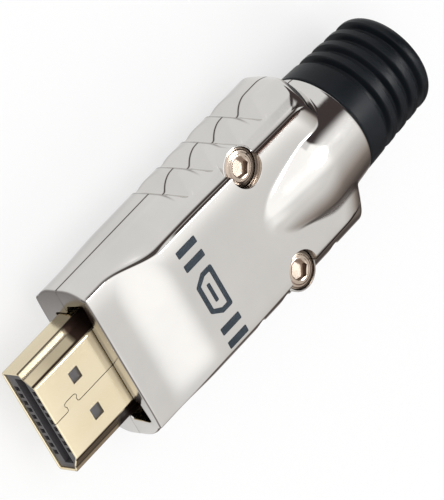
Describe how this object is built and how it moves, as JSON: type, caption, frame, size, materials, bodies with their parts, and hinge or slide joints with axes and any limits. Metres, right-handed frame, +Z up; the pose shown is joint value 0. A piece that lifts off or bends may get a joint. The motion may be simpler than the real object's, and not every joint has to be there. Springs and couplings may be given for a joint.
{
  "type": "digital video plug",
  "caption": "Digital video plug with a gold plated shell, a polished two part cast metal housing held by two socket screws, and a ribbed rubber strain relief boot.",
  "frame": {"origin": "centre of the bounding box in X and Y, at the height of its lowest point", "axes": "+Y from the mating end towards the cable, +Z up out of the plug's narrow side, +X across the plug"},
  "size_m": [0.0206, 0.0632, 0.0155],
  "materials": {
    "polished_metal": "polished",
    "gold_plate": "polished",
    "screw_steel": "satin",
    "dark_plastic": "moulded",
    "pale_plastic": "moulded",
    "tinned_sheet": "stamped",
    "black_rubber": "moulded"
  },
  "bodies": {
    "root": {"housing_top": "polished_metal", "housing_bottom": "polished_metal", "screw_left": "screw_steel", "screw_right": "screw_steel", "plug_shell": "gold_plate", "insulator": "dark_plastic", "wire_holder": "pale_plastic", "shield_cover_top": "tinned_sheet", "shield_cover_bottom": "tinned_sheet", "boot": "black_rubber", "contact_01": "gold_plate", "contact_02": "gold_plate", "contact_03": "gold_plate", "contact_04": "gold_plate", "contact_05": "gold_plate", "contact_06": "gold_plate", "contact_07": "gold_plate", "contact_08": "gold_plate", "contact_09": "gold_plate", "contact_10": "gold_plate", "contact_11": "gold_plate", "contact_12": "gold_plate", "contact_13": "gold_plate", "contact_14": "gold_plate", "contact_15": "gold_plate", "contact_16": "gold_plate", "contact_17": "gold_plate", "contact_18": "gold_plate", "contact_19": "gold_plate"}
  },
  "joints": []
}
